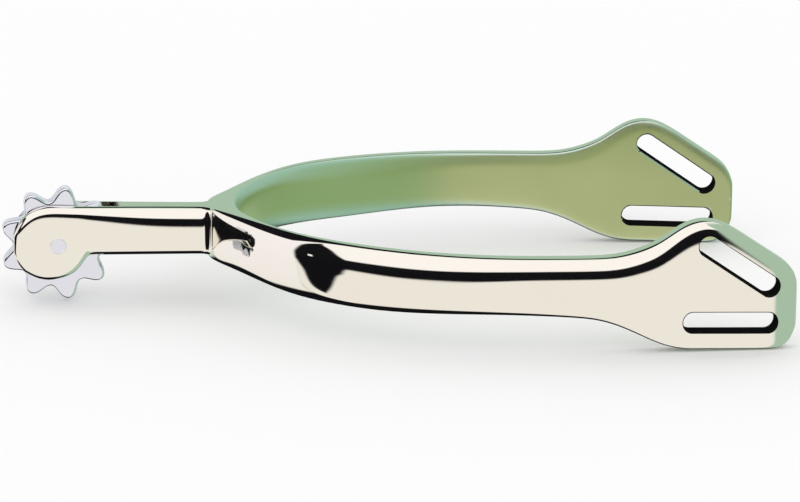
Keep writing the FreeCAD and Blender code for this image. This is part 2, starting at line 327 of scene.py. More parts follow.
def shape_section(station):
    """Moves the rows and columns of the newest cross-section to their places."""
    x, y, heading = station[:3]
    turn = math.radians(heading)
    ahead = Vector((math.cos(turn), math.sin(turn), 0))
    outward = Vector((-ahead.y, ahead.x, 0))
    centre = spot(x, y, 0)

    def in_section(co):
        return abs((co - centre).dot(ahead)) < TOUCH and abs((co - centre).dot(outward)) < REACH

    mesh = bmesh.from_edit_mesh(bpy.context.object.data)
    heights = sorted({round(v.co.z, 7) for v in mesh.verts if v.select and in_section(v.co)})
    moved = list(zip(heights, section_points(station)))
    # rows go up from the top down and down from the bottom up, so that none lands on another
    rising = [m for m in moved if spot(0, 0, m[1][0]).z >= m[0]]
    falling = [m for m in moved if spot(0, 0, m[1][0]).z < m[0]]
    for height, (z, _columns) in sorted(rising, reverse=True) + sorted(falling):
        lift = spot(0, 0, z).z - height
        if abs(lift) > NO_STEP:
            pick(lambda co: in_section(co) and abs(co.z - height) < SAME_LEVEL)
            push((0, 0, lift))
    for _height, (z, columns) in moved:
        level = spot(0, 0, z).z
        mesh = bmesh.from_edit_mesh(bpy.context.object.data)
        row = [v.co for v in mesh.verts if in_section(v.co) and abs(v.co.z - level) < SAME_LEVEL]
        outs = sorted((co - centre).dot(outward) for co in row)
        for out, target in zip(outs, columns):
            step = target * MM - out
            if abs(step) > NO_STEP:
                pick(lambda co: in_section(co) and abs(co.z - level) < SAME_LEVEL
                     and abs((co - centre).dot(outward) - out) < SAME_LEVEL)
                push(outward * step)
    pick(in_section)


def shape_branch():
    """Extrudes one branch of the band from the nose to the plate's end, section by section."""
    stations = band_stations()
    x, y, heading = stations[0][:3]
    clear_bench()
    bpy.ops.mesh.primitive_grid_add(
        x_subdivisions=2, y_subdivisions=8, size=ROOT_THICKNESS * MM, location=spot(x, y, GRID_RISE),
        rotation=(math.pi / 2, 0, math.radians(heading + 90)))
    band = start_piece("heel_band_shell")
    shape_section(stations[0])
    for last, station in zip(stations, stations[1:]):
        step = spot(*station[:2], 0) - spot(*last[:2], 0)
        bpy.ops.mesh.extrude_region_move(TRANSFORM_OT_translate={"value": tuple(step)})
        bpy.ops.transform.rotate(
            value=-math.radians(station[2] - last[2]), orient_axis="Z",
            center_override=tuple(spot(*station[:2], 0)))
        shape_section(station)
    pick(lambda co: abs(co.y) < TOUCH)
    bpy.ops.mesh.delete(type="ONLY_FACE")
    return band


def cut_slots(band):
    """Cuts the four strap slots, their mouths slightly flared."""
    for side in (1, -1):
        for x, z, fall in STRAP_SLOTS:
            saw_out(band, slot_cutter(x, z, fall, side))


def slot_cutter(x, z, fall, side):
    """A long round-ended bar through one plate, widened at both faces."""
    slope = math.tan(math.radians(TOE_IN))
    centre = spot(x, side * (TOE_IN_Y + (x - TOE_IN_START) * slope), z)
    clear_bench()
    bpy.ops.mesh.primitive_circle_add(
        vertices=ROUND_POINTS, radius=SLOT_WIDTH / 2 * MM, fill_type="NGON", location=centre,
        rotation=(math.pi / 2, 0, 0))
    cutter = start_piece("slot_cutter")
    for end in (1, -1):
        pick(lambda co: (co.x - centre.x) * end > OFF_MIDDLE)
        push((end * (SLOT_LENGTH - SLOT_WIDTH) / 2 * MM, 0, 0))
    half = BAND_THICKNESS / 2
    stops = [-half - SLOT_FLARE, -half + SLOT_FLARE, half - SLOT_FLARE, half + SLOT_FLARE]
    widths = [2 * SLOT_FLARE, 0.0, 0.0, 2 * SLOT_FLARE]
    bpy.ops.mesh.select_all(action="SELECT")
    push((0, stops[0] * MM, 0))
    for last, stop in zip(stops, stops[1:]):
        bpy.ops.mesh.extrude_region_move(TRANSFORM_OT_translate={"value": (0, (stop - last) * MM, 0)})
    for stop, wider in zip(stops, widths):
        if wider:
            level = centre.y + stop * MM
            pick(lambda co: abs(co.y - level) < TOUCH)
            bpy.ops.transform.resize(
                value=(1 + 2 * wider / SLOT_LENGTH, 1.0, 1 + 2 * wider / SLOT_WIDTH),
                center_override=tuple(centre))
    bpy.ops.mesh.select_all(action="SELECT")
    bpy.ops.transform.rotate(value=-math.radians(fall), orient_axis="Y", center_override=tuple(centre))
    bpy.ops.transform.rotate(value=-math.radians(side * TOE_IN), orient_axis="Z",
                             center_override=tuple(centre))
    bpy.ops.mesh.normals_make_consistent(inside=False)
    bpy.ops.object.mode_set(mode="OBJECT")
    return cutter


def make_heel_band():
    """Bends up one branch, mirrors and smooths it, and cuts the strap slots."""
    band = shape_branch()
    mirror = ("MIRROR", {"use_axis": (False, True, False), "use_clip": True, "merge_threshold": WELD})
    finish_piece(band, [mirror, SMOOTH])
    cut_slots(band)
    take(band)
    bpy.ops.object.shade_smooth_by_angle(angle=FORGED_EDGE)
    return band


# ---------------------------------------------------------------- neck
def neck_stations():
    """Cross-sections along the neck: x, top, bottom, half width."""
    rise = (NECK_TOP_AT_CHEEK - NECK_TOP) / CHEEK_X

    def top(x):
        return NECK_TOP + rise * min(x, 0.0)

    steps = [(x, top(x), NECK_BOTTOM, half) for x, half in BRAZE]
    steps += [(x, top(x), NECK_BOTTOM, NECK_HALF) for x in STRAIGHT]
    steps += [(x, top(x), NECK_BOTTOM - drop, NECK_HALF) for x, drop in THROAT]
    radius = CHEEK_RADIUS * CAGE_GROWTH
    for angle in ROUND_CHEEK:
        turn = math.radians(angle)
        reach = radius * math.cos(turn)
        x = CHEEK_X - radius * math.sin(turn)
        steps.append((x, CHEEK_Z + CHEEK_STRETCH + reach, CHEEK_Z - reach, NECK_HALF))
    return steps


def neck_rows(x, top, bottom, half):
    """Height and half width of each row of a neck section."""
    crown = along(CROWN_ALONG_NECK, x)
    pinch = min(1.0, (top - bottom) / (NECK_TOP - NECK_BOTTOM))
    rows = [(bottom + rise * pinch, half - depth) for rise, depth in NECK_EASE]
    for drop, depth in reversed(NECK_CROWN):
        rows.append((top - drop * pinch * crown, half - depth * crown))
    if x > CHEEK_X - RIM_START:
        return rows
    # beyond the cheek's centre the crown follows the round end, all the way down
    wide = CHEEK_RADIUS * CAGE_GROWTH
    tall = wide + CHEEK_STRETCH / 2
    middle = CHEEK_Z + CHEEK_STRETCH / 2
    rimmed = min(1.0, (CHEEK_X - RIM_START - x) / RIM_RUN)
    round_rows = []
    for z, _half in rows:
        inwards = wide * (1 - min(1.0, math.hypot((x - CHEEK_X) / wide, (z - middle) / tall)))
        crown_depth = crown * along(NECK_CROWN, inwards / crown)
        rim_depth = along(CHEEK_RIM, inwards)
        round_rows.append((z, half - crown_depth * (1 - rimmed) - rim_depth * rimmed))
    return round_rows


def shape_neck_section(x, rows):
    """Moves the rows of the newest neck section to their heights and widths."""
    level = spot(x, 0, 0).x

    def in_section(co):
        return abs(co.x - level) < TOUCH

    mesh = bmesh.from_edit_mesh(bpy.context.object.data)
    heights = sorted({round(v.co.z, 7) for v in mesh.verts if in_section(v.co)})
    moved = list(zip(heights, rows))
    rising = [m for m in moved if spot(0, 0, m[1][0]).z >= m[0]]
    falling = [m for m in moved if spot(0, 0, m[1][0]).z < m[0]]
    for height, (z, _half) in sorted(rising, reverse=True) + sorted(falling):
        pick(lambda co: in_section(co) and abs(co.z - height) < SAME_LEVEL)
        push((0, 0, spot(0, 0, z).z - height))
    for _height, (z, half) in moved:
        height = spot(0, 0, z).z
        mesh = bmesh.from_edit_mesh(bpy.context.object.data)
        widest = max(v.co.y for v in mesh.verts if in_section(v.co) and abs(v.co.z - height) < SAME_LEVEL)
        for side in (1, -1):
            pick(lambda co: in_section(co) and abs(co.z - height) < SAME_LEVEL
                 and abs(co.y - side * widest) < SAME_LEVEL)
            push((0, side * (half * MM - widest), 0))
    pick(in_section)


def cut_fork(neck):
    """Cuts the fork that the rowel turns in."""
    clear_bench()
    reach = FORK_END - CHEEK_X + CHEEK_RADIUS + FORK_OVERRUN
    bpy.ops.mesh.primitive_cube_add(size=1, location=spot(FORK_END - reach / 2, 0, 0))
    cutter = bpy.context.object
    cutter.scale = (reach * MM, FORK_WIDTH * MM, FORK_HEIGHT * MM)
    start_piece("fork_cutter")
    end = spot(FORK_END, 0, 0).x
    pick(lambda co: abs(co.x - end) < TOUCH)
    bpy.ops.mesh.bevel(offset=FORK_EASE * MM, segments=4, affect="EDGES")
    bpy.ops.object.mode_set(mode="OBJECT")
    saw_out(neck, cutter)


def make_neck():
    """Extrudes the neck from inside the band out to the round cheeks, then forks it."""
    steps = neck_stations()
    clear_bench()
    bpy.ops.mesh.primitive_grid_add(
        x_subdivisions=4, y_subdivisions=7, size=2 * NECK_HALF * MM,
        location=spot(steps[0][0], 0, GRID_RISE),
        rotation=(math.pi / 2, 0, -math.pi / 2))
    neck = start_piece("neck_shell")
    for number, (x, *shape) in enumerate(steps):
        if number:
            step = spot(x, 0, 0) - spot(steps[number - 1][0], 0, 0)
            bpy.ops.mesh.extrude_region_move(TRANSFORM_OT_translate={"value": tuple(step)})
        shape_neck_section(x, neck_rows(x, *shape))
    finish_piece(neck, [SMOOTH])
    cut_fork(neck)
    take(neck)
    bpy.ops.object.shade_smooth_by_angle(angle=FORGED_EDGE)
    return neck


# ---------------------------------------------------------------- rowel and pin
def tooth_radius(phase):
    """Radius of the rowel's outline at a phase of 0 at a tip and pi at a root."""
    wave = (math.cos(phase) - TOOTH_BLUNTING * math.cos(3 * phase)) / (1 - TOOTH_BLUNTING)
    return (ROWEL_TIP + ROWEL_ROOT) / 2 + (ROWEL_TIP - ROWEL_ROOT) / 2 * wave


def make_rowel():
    """A ring drawn out into nine teeth, thickened and eased along both rims."""
    front = ROWEL_AXIS - Vector((0, ROWEL_THICKNESS / 2 * MM, 0))
    first = math.radians(FIRST_TOOTH)
    placed = {"vertices": TEETH * POINTS_PER_TOOTH, "fill_type": "NOTHING", "location": front,
              "rotation": (math.pi / 2, -first, 0)}
    clear_bench()
    bpy.ops.mesh.primitive_circle_add(radius=ROWEL_TIP * MM, **placed)
    rowel = start_piece("rowel_star")
    for step in range(POINTS_PER_TOOTH // 2 + 1):
        phase = 2 * math.pi * step / POINTS_PER_TOOTH

        def at_phase(co):
            turn = TEETH * (math.atan2(co.z - front.z, co.x - front.x) - first)
            turn = turn % (2 * math.pi)
            return abs(min(turn, 2 * math.pi - turn) - phase) < SAME_PHASE

        pick(at_phase)
        shrink = tooth_radius(phase) / ROWEL_TIP
        bpy.ops.transform.resize(value=(shrink, 1, shrink), center_override=tuple(front))
    bpy.ops.mesh.select_all(action="DESELECT")
    bpy.ops.mesh.primitive_circle_add(radius=ROWEL_BORE * MM, **placed)
    bpy.ops.mesh.select_all(action="SELECT")
    bpy.ops.mesh.bridge_edge_loops()
    bpy.ops.mesh.select_all(action="SELECT")
    bpy.ops.mesh.extrude_region_move(
        TRANSFORM_OT_translate={"value": (0, ROWEL_THICKNESS * MM, 0)})
    for side in (0, 1):
        face = front.y + side * ROWEL_THICKNESS * MM
        pick(lambda co: abs(co.y - face) < TOUCH)
        bpy.ops.mesh.inset(thickness=RIM_WIDTH * MM)
        push((0, (2 * side - 1) * RIM_FALL * MM, 0))
    rim = (ROWEL_ROOT - NEAR_RIM) * MM
    for face in (front.y, front.y + ROWEL_THICKNESS * MM):
        pick(lambda co: abs(co.y - face) < TOUCH and math.hypot(co.x - front.x, co.z - front.z) > rim)
        bpy.ops.mesh.bevel(offset=ROWEL_RIM * MM, segments=4, affect="EDGES")
    finish_piece(rowel, [])
    bpy.ops.object.shade_smooth_by_angle(angle=TURNED_EDGE)
    flatten_shading(rowel)
    return rowel


def make_pin():
    """The pin: a shaft with a head let into each cheek, both ends turned flat and eased."""
    centre = ROWEL_AXIS - Vector((0, PIN_LENGTH / 2 * MM, 0))
    clear_bench()
    bpy.ops.mesh.primitive_circle_add(
        vertices=ROUND_POINTS, radius=PIN_RADIUS * MM, fill_type="NGON", location=centre,
        rotation=(math.pi / 2, 0, 0))
    pin = start_piece("rowel_pin_turned")
    bpy.ops.mesh.select_all(action="SELECT")
    runs = [(PIN_HEAD, 1.0), (0.0, PIN_SHAFT / PIN_RADIUS), (PIN_LENGTH - 2 * PIN_HEAD, 1.0),
            (0.0, PIN_RADIUS / PIN_SHAFT), (PIN_HEAD, 1.0)]
    reached = 0.0
    for run, factor in runs:
        reached += run
        bpy.ops.mesh.extrude_region_move(TRANSFORM_OT_translate={"value": (0, run * MM, 0)})
        level = tuple(centre + Vector((0, reached * MM, 0)))
        bpy.ops.transform.resize(value=(factor, 1, factor), center_override=level)
    for face in (centre.y, centre.y + PIN_LENGTH * MM):
        pick(lambda co: abs(co.y - face) < TOUCH)
        bpy.ops.mesh.bevel(offset=PIN_EASE * MM, segments=3, affect="EDGES")
    finish_piece(pin, [])
    bpy.ops.object.shade_smooth_by_angle(angle=TURNED_EDGE)
    flatten_shading(pin)
    return pin


# ---------------------------------------------------------------- finishes, with painted reflection and painted shade
def new_group(name, inputs, outputs):
    """An empty shader node group with its sockets; gives the group, its input and output nodes."""
    group = bpy.data.node_groups.new(name, "ShaderNodeTree")
    for label, kind, value in inputs:
        socket = group.interface.new_socket(label, in_out="INPUT", socket_type=kind)
        if value is not None:
            socket.default_value = value
    for label, kind in outputs:
        group.interface.new_socket(label, in_out="OUTPUT", socket_type=kind)
    return group, group.nodes.new("NodeGroupInput"), group.nodes.new("NodeGroupOutput")


def add(tree, kind, **settings):
    """A new shader node with its settings."""
    node = tree.nodes.new(kind)
    for key, value in settings.items():
        setattr(node, key, value)
    return node


def join(tree, source, target):
    """Joins an output to an input."""
    tree.links.new(source, target)


def polish_group():
    """Hand polish: soft smudges that dull the shine and hair lines along the work."""
    group, given, out = new_group(
        "hand_polish",
        [("Vector", "NodeSocketVector", None), ("Smudge Scale", "NodeSocketFloat", 60.0),
         ("Line Scale", "NodeSocketFloat", 900.0), ("Smudge Amount", "NodeSocketFloat", 0.5)],
        [("Haze", "NodeSocketFloat"), ("Height", "NodeSocketFloat")])
    smudge = add(group, "ShaderNodeTexNoise")
    smudge.inputs["Detail"].default_value = 4.0
    smudge.inputs["Roughness"].default_value = 0.6
    join(group, given.outputs["Vector"], smudge.inputs["Vector"])
    join(group, given.outputs["Smudge Scale"], smudge.inputs["Scale"])
    clear = add(group, "ShaderNodeMapRange")
    clear.inputs["From Min"].default_value = 0.45
    clear.inputs["From Max"].default_value = 0.75
    join(group, smudge.outputs["Fac"], clear.inputs["Value"])
    amount = add(group, "ShaderNodeMath", operation="MULTIPLY")
    join(group, clear.outputs["Result"], amount.inputs[0])
    join(group, given.outputs["Smudge Amount"], amount.inputs[1])
    stretch = add(group, "ShaderNodeMapping")
    stretch.inputs["Scale"].default_value = (0.06, 0.06, 1.0)
    join(group, given.outputs["Vector"], stretch.inputs["Vector"])
    lines = add(group, "ShaderNodeTexNoise")
    lines.inputs["Detail"].default_value = 2.0
    join(group, stretch.outputs["Vector"], lines.inputs["Vector"])
    join(group, given.outputs["Line Scale"], lines.inputs["Scale"])
    total = add(group, "ShaderNodeMath", operation="MULTIPLY_ADD")
    total.inputs[1].default_value = 0.25
    join(group, lines.outputs["Fac"], total.inputs[0])
    join(group, amount.outputs["Value"], total.inputs[2])
    join(group, total.outputs["Value"], out.inputs["Haze"])
    join(group, lines.outputs["Fac"], out.inputs["Height"])
    return group


def tone_group():
    """Slow change of colour over plated metal, deeper in random patches, brighter on worn edges."""
    group, given, out = new_group(
        "plate_tone",
        [("Vector", "NodeSocketVector", None), ("Plate", "NodeSocketColor", (0.9, 0.85, 0.75, 1)),
         ("Deep", "NodeSocketColor", (0.8, 0.7, 0.5, 1)), ("Worn", "NodeSocketColor", (0.9, 0.9, 0.9, 1)),
         ("Scale", "NodeSocketFloat", 25.0), ("Amount", "NodeSocketFloat", 0.4)],
        [("Color", "NodeSocketColor"), ("Edge", "NodeSocketFloat")])
    drift = add(group, "ShaderNodeTexNoise")
    drift.inputs["Detail"].default_value = 3.0
    join(group, given.outputs["Vector"], drift.inputs["Vector"])
    join(group, given.outputs["Scale"], drift.inputs["Scale"])
    spread = add(group, "ShaderNodeMapRange")
    spread.inputs["From Min"].default_value = 0.35
    spread.inputs["From Max"].default_value = 0.7
    join(group, drift.outputs["Fac"], spread.inputs["Value"])
    share = add(group, "ShaderNodeMath", operation="MULTIPLY")
    join(group, spread.outputs["Result"], share.inputs[0])
    join(group, given.outputs["Amount"], share.inputs[1])
    tone = add(group, "ShaderNodeMix", data_type="RGBA")
    join(group, share.outputs["Value"], tone.inputs["Factor"])
    join(group, given.outputs["Plate"], tone.inputs[6])
    join(group, given.outputs["Deep"], tone.inputs[7])
    shape = add(group, "ShaderNodeNewGeometry")
    edge = add(group, "ShaderNodeMapRange")
    edge.inputs["From Min"].default_value = 0.53
    edge.inputs["From Max"].default_value = 0.6
    join(group, shape.outputs["Pointiness"], edge.inputs["Value"])
    worn = add(group, "ShaderNodeMix", data_type="RGBA")
    join(group, edge.outputs["Result"], worn.inputs["Factor"])
    join(group, tone.outputs[2], worn.inputs[6])
    join(group, given.outputs["Worn"], worn.inputs[7])
    join(group, worn.outputs[2], out.inputs["Color"])
    join(group, edge.outputs["Result"], out.inputs["Edge"])
    return group


def metal(name, groups, plate, deep, worn, roughness, roughest, centre, bump, smudge_scale=60.0,
          metallic=1.0, specular=0.5):
    """Metal with a toned surface, hazed by smudges and hair lines."""
    polish, tone = groups
    material = bpy.data.materials.new(name)
    material.use_nodes = True
    tree = material.node_tree
    shader = tree.nodes["Principled BSDF"]
    shader.inputs["Metallic"].default_value = metallic
    shader.inputs["Specular IOR Level"].default_value = specular
    place = add(tree, "ShaderNodeTexCoord")
    middle = add(tree, "ShaderNodeMapping")
    middle.inputs["Location"].default_value = tuple(-centre)
    join(tree, place.outputs["Object"], middle.inputs["Vector"])
    marks = add(tree, "ShaderNodeGroup", node_tree=polish)
    marks.inputs["Smudge Scale"].default_value = smudge_scale
    colour = add(tree, "ShaderNodeGroup", node_tree=tone)
    colour.inputs["Plate"].default_value = (*plate, 1)
    colour.inputs["Deep"].default_value = (*deep, 1)
    colour.inputs["Worn"].default_value = (*worn, 1)
    join(tree, middle.outputs["Vector"], marks.inputs["Vector"])
    join(tree, middle.outputs["Vector"], colour.inputs["Vector"])
    join(tree, colour.outputs["Color"], shader.inputs["Base Color"])
    haze = add(tree, "ShaderNodeMapRange")
    haze.inputs["To Min"].default_value = roughness
    haze.inputs["To Max"].default_value = roughest
    join(tree, marks.outputs["Haze"], haze.inputs["Value"])
    join(tree, haze.outputs["Result"], shader.inputs["Roughness"])
    relief = add(tree, "ShaderNodeBump")
    relief.inputs["Strength"].default_value = bump
    relief.inputs["Distance"].default_value = 0.02 * MM
    join(tree, marks.outputs["Height"], relief.inputs["Height"])
    join(tree, relief.outputs["Normal"], shader.inputs["Normal"])
    return material


# upward or downward part of the normal where the painted paler reflection begins and where it is full
TILT_START = 0.06
TILT_END = 0.36


def paint_pale_reflection_where_rounded(material, colour):
    """Paints a paler tone over the inner faces' painted green where the face rounds over towards an edge:
    a painted reflection.
    """
    tree = material.node_tree
    shader = tree.nodes["Principled BSDF"]
    tone = shader.inputs["Base Color"].links[0].from_socket
    place = add(tree, "ShaderNodeTexCoord")
    parts = add(tree, "ShaderNodeSeparateXYZ")
    join(tree, place.outputs["Normal"], parts.inputs["Vector"])
    tilt = add(tree, "ShaderNodeMath", operation="ABSOLUTE")
    join(tree, parts.outputs["Z"], tilt.inputs[0])
    amount = add(tree, "ShaderNodeMapRange")
    amount.inputs["From Min"].default_value = TILT_START
    amount.inputs["From Max"].default_value = TILT_END
    join(tree, tilt.outputs["Value"], amount.inputs["Value"])
    mix = add(tree, "ShaderNodeMix", data_type="RGBA")
    mix.inputs[7].default_value = (*colour, 1)
    join(tree, amount.outputs["Result"], mix.inputs[0])
    join(tree, tone, mix.inputs[6])
    join(tree, mix.outputs[2], shader.inputs["Base Color"])


def dress(piece, body, node, materials):
    """Gives a piece its materials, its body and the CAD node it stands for."""
    piece.data.materials.clear()
    for material in materials:
        piece.data.materials.append(material)
    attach(piece, body)
    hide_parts(node)


NOSE_HALF = 12 * MM      # within this distance of the middle the band's inner face looks along X
NOSE_LEAN = 0.5          # elsewhere a face that looks along X counts by this much as an inner one
FACING = 0.5             # and a face is an inner one from this value on
CUT_EDGE_NORMAL = 0.3    # the rowel's cut edge looks along Y by less than this
FLARE_NORMAL = 0.93      # the flare turns from the plate's face by more than this cosine


def in_slot(co):
    """True for a place on the walls of one of the strap slots, or on their flare."""
    for x, z, fall in STRAP_SLOTS:
        centre = spot(x, 0, z)
        turn = math.radians(fall)
        across = (co.x - centre.x) / math.cos(math.radians(TOE_IN))
        lift = co.z - centre.z
        length = abs(across * math.cos(turn) - lift * math.sin(turn))
        height = across * math.sin(turn) + lift * math.cos(turn)
        beyond = max(0.0, length - (SLOT_LENGTH - SLOT_WIDTH) / 2 * MM)
        if math.hypot(beyond, height) < (SLOT_WIDTH / 2 + SLOT_FLARE) * MM:
            return True
    return False


def lay_band_finishes_and_painted_light(band):
    """Second material, the painted green reflection, on the band's inner faces; third, the near-black
    painted shade, in the strap slots.
    """
    for face in band.data.polygons:
        inward = -math.copysign(1.0, face.center.y) * face.normal.y + NOSE_LEAN * face.normal.x
        at_nose = abs(face.center.y) < NOSE_HALF
        facing = (face.normal.x if at_nose else inward) > FACING
        face.material_index = 1 if facing else 0
        # the slots' walls and flares take the near-black painted shade
        if abs(face.normal.y) < FLARE_NORMAL and in_slot(face.center):
            face.material_index = 2


def lay_rowel_finish_and_painted_shade(rowel):
    """Second material, a flat grey painted shade, on the rowel's cut edge."""
    for face in rowel.data.polygons:
        face.material_index = 1 if abs(face.normal.y) < CUT_EDGE_NORMAL else 0


# ---------------------------------------------------------------- studio
CAMERA_AZIMUTH = 6.39    # degrees
CAMERA_RISE = 15.0
CAMERA_ROLL = -1.06
CAMERA_DISTANCE = 1.0    # metres
CAMERA_LENS = 270.0      # mm, on a film 36 mm wide
FILM_WIDTH = 36.0
FRAME_CENTRE = Vector((-32.667, 3.333)) * MM   # the spur's origin from the view's middle


def set_camera():
    """A long lens looking at the spur's right side, a little from above and from the rowel's end."""
    azimuth, rise, roll = (math.radians(a) for a in (CAMERA_AZIMUTH, CAMERA_RISE, CAMERA_ROLL))
    level_ahead = Vector((math.sin(azimuth), math.cos(azimuth), 0))
    ahead = level_ahead * math.cos(rise) - Vector((0, 0, math.sin(rise)))
    level_right = Vector((math.cos(azimuth), -math.sin(azimuth), 0))
    level_up = level_right.cross(ahead)
    right = math.cos(roll) * level_right - math.sin(roll) * level_up
    up = math.sin(roll) * level_right + math.cos(roll) * level_up
    place = ORIGIN - right * FRAME_CENTRE.x - up * FRAME_CENTRE.y - ahead * CAMERA_DISTANCE
    data = bpy.data.cameras.new("view")
    data.lens = CAMERA_LENS
    data.sensor_width = FILM_WIDTH
    data.clip_start = 0.01
    camera = bpy.data.objects.new("view", data)
    bpy.context.scene.collection.objects.link(camera)
    turned = Matrix((right, up, -ahead)).transposed().to_4x4()
    turned.translation = place
    camera.matrix_world = turned
    bpy.context.scene.camera = camera


def ramp(tree, source, stops):
    """A colour ramp over the height of a direction, stops given in degrees."""
    node = add(tree, "ShaderNodeValToRGB")
    join(tree, source, node.inputs["Fac"])
    elements = node.color_ramp.elements
    elements[0].position = 0.0
    elements[0].color = (*stops[0][1], 1)
    elements[1].position = 1.0
    elements[1].color = (*stops[-1][1], 1)
    for degrees, colour in stops[1:-1]:
        stop = elements.new((degrees + 90) / 180)
        stop.color = (*colour, 1)
    return node.outputs["Color"]


def maths(tree, operation, first, second):
    """One sum of two values, each a number or an output."""
    node = add(tree, "ShaderNodeMath", operation=operation)
    for value, socket in zip((first, second), node.inputs):
        if isinstance(value, float):
            socket.default_value = value
        else:
            join(tree, value, socket)
    return node.outputs["Value"]


def between(tree, value, low, high, soft):
    """1 where a value lies between low and high, with soft borders."""
    masks = []
    for edge, first, last in ((low, 0.0, 1.0), (high, 1.0, 0.0)):
        step = add(tree, "ShaderNodeMapRange", interpolation_type="SMOOTHSTEP")
        step.inputs["From Min"].default_value = edge - soft
        step.inputs["From Max"].default_value = edge + soft
        step.inputs["To Min"].default_value = first
        step.inputs["To Max"].default_value = last
        join(tree, value, step.inputs["Value"])
        masks.append(step.outputs["Result"])
    return maths(tree, "MULTIPLY", *masks)


def multiplied(tree, first, *others):
    """Mask of the part that several masks share."""
    for other in others:
        first = maths(tree, "MULTIPLY", first, other)
    return first


def blend_colour(tree, mask, under, over):
    """One colour laid over another where the mask is 1."""
    node = add(tree, "ShaderNodeMix", data_type="RGBA")
    join(tree, mask, node.inputs["Factor"])
    join(tree, under, node.inputs[6])
    join(tree, over, node.inputs[7])
    return node.outputs[2]


BLACK = (0.006, 0.006, 0.008)
WHITE = (1.02, 1.0, 1.0)
CREAM = (0.88, 0.86, 0.82)
BLUSH = (0.95, 0.92, 0.95)
SAGE = (0.40, 0.56, 0.44)
PALE_SAGE = (0.62, 0.74, 0.66)
# the studio's four walls from floor to ceiling: degrees up, colour
WALL_BEHIND = [(-90, BLACK), (-28, BLACK), (-22, PALE_SAGE), (-12, PALE_SAGE), (0, SAGE),
               (80, SAGE), (86, WHITE), (90, WHITE)]
WALL_RIGHT = [(-90, BLACK), (-72, BLACK), (-65, SAGE), (50, SAGE), (60, WHITE), (90, WHITE)]
WALL_FRONT = [(-90, BLACK), (-62, BLACK), (-57, CREAM), (-10, CREAM), (-8.5, BLACK),
              (8.5, BLACK), (10, WHITE), (90, WHITE)]
WALL_LEFT = [(-90, BLACK), (-42, BLACK), (-37, CREAM), (-10, BLUSH), (90, WHITE)]
# where the walls meet, in degrees round from the front, positive to the left
RIGHT_CORNERS = (-130, -20)
LEFT_CORNERS = (84, 130)
# a black curtain between front and left: its sides, how they close in below HORIZON,
# its lower end, its upper end at the first side, and how that rises from there
CURTAIN = (54.0, 84.0)
CURTAIN_CLOSING = (0.7, 0.5)
CURTAIN_FOOT = -60
CURTAIN_TOP = 9
CURTAIN_SLOPE = 1.2
HORIZON = -9.0
# a black canopy high up at the back, round to the left
CANOPY_LEFT = (95, 200)
CANOPY_RIGHT = (-200, -162)
CANOPY_HEIGHT = (30, 80)
# a small lamp in front of the curtain
LAMP_ACROSS = (72, 75)
LAMP_HEIGHT = (1, 5)
# half widths of the soft borders, in degrees, and a turn beyond any direction
CORNER_SOFT = (3, 2, 2)
CURTAIN_SOFT = 1.5
CANOPY_SOFT = (2, 0.8, 1.5)
LAMP_SOFT = 0.6
BEYOND = 200
DAYLIGHT = 1.06


def plain_ramp(tree, source, colour):
    """One colour at every height."""
    return ramp(tree, source, [(-90, colour), (90, colour)])


def direction(tree):
    """Where a reflection looks: degrees round from the front, degrees up, and height as 0 to 1."""
    place = add(tree, "ShaderNodeTexCoord")
    parts = add(tree, "ShaderNodeSeparateXYZ")
    join(tree, place.outputs["Generated"], parts.inputs["Vector"])
    left = maths(tree, "MULTIPLY", parts.outputs["X"], -1.0)
    front = maths(tree, "MULTIPLY", parts.outputs["Y"], -1.0)
    turn = maths(tree, "MULTIPLY", maths(tree, "ARCTAN2", left, front), math.degrees(1))
    lift = add(tree, "ShaderNodeMath", operation="ARCSINE")
    join(tree, parts.outputs["Z"], lift.inputs[0])
    up = maths(tree, "MULTIPLY", lift.outputs["Value"], math.degrees(1))
    height = add(tree, "ShaderNodeMapRange")
    height.inputs["From Min"].default_value = -90
    height.inputs["From Max"].default_value = 90
    join(tree, up, height.inputs["Value"])
    return turn, up, height.outputs["Result"]


def curtain(tree, turn, up):
    """Mask of the black curtain."""
    dip = maths(tree, "MAXIMUM", maths(tree, "SUBTRACT", HORIZON, up), 0.0)
    closing = [maths(tree, "MULTIPLY", dip, share) for share in CURTAIN_CLOSING]
    from_first = maths(tree, "SUBTRACT", turn, closing[0])
    from_second = maths(tree, "ADD", turn, closing[1])
    first_side = between(tree, from_first, CURTAIN[0], BEYOND, CURTAIN_SOFT)
    second_side = between(tree, from_second, -BEYOND, CURTAIN[1], CURTAIN_SOFT)
    from_side = maths(tree, "SUBTRACT", turn, CURTAIN[0])
    slope = maths(tree, "MULTIPLY", from_side, CURTAIN_SLOPE)
    above_slope = maths(tree, "SUBTRACT", up, slope)
    below_top = between(tree, above_slope, -BEYOND, CURTAIN_TOP, CURTAIN_SOFT)
    above_foot = between(tree, up, CURTAIN_FOOT, 90, CURTAIN_SOFT)
    return multiplied(tree, first_side, second_side, below_top, above_foot)


def canopy(tree, turn, up):
    """Mask of the black canopy."""
    left_soft, right_soft, height_soft = CANOPY_SOFT
    left = between(tree, turn, *CANOPY_LEFT, left_soft)
    right = between(tree, turn, *CANOPY_RIGHT, right_soft)
    sweep = maths(tree, "ADD", left, right)
    return multiplied(tree, sweep, between(tree, up, *CANOPY_HEIGHT, height_soft))


def lamp(tree, turn, up):
    """Mask of the small lamp."""
    across = between(tree, turn, *LAMP_ACROSS, LAMP_SOFT)
    return multiplied(tree, across, between(tree, up, *LAMP_HEIGHT, LAMP_SOFT))


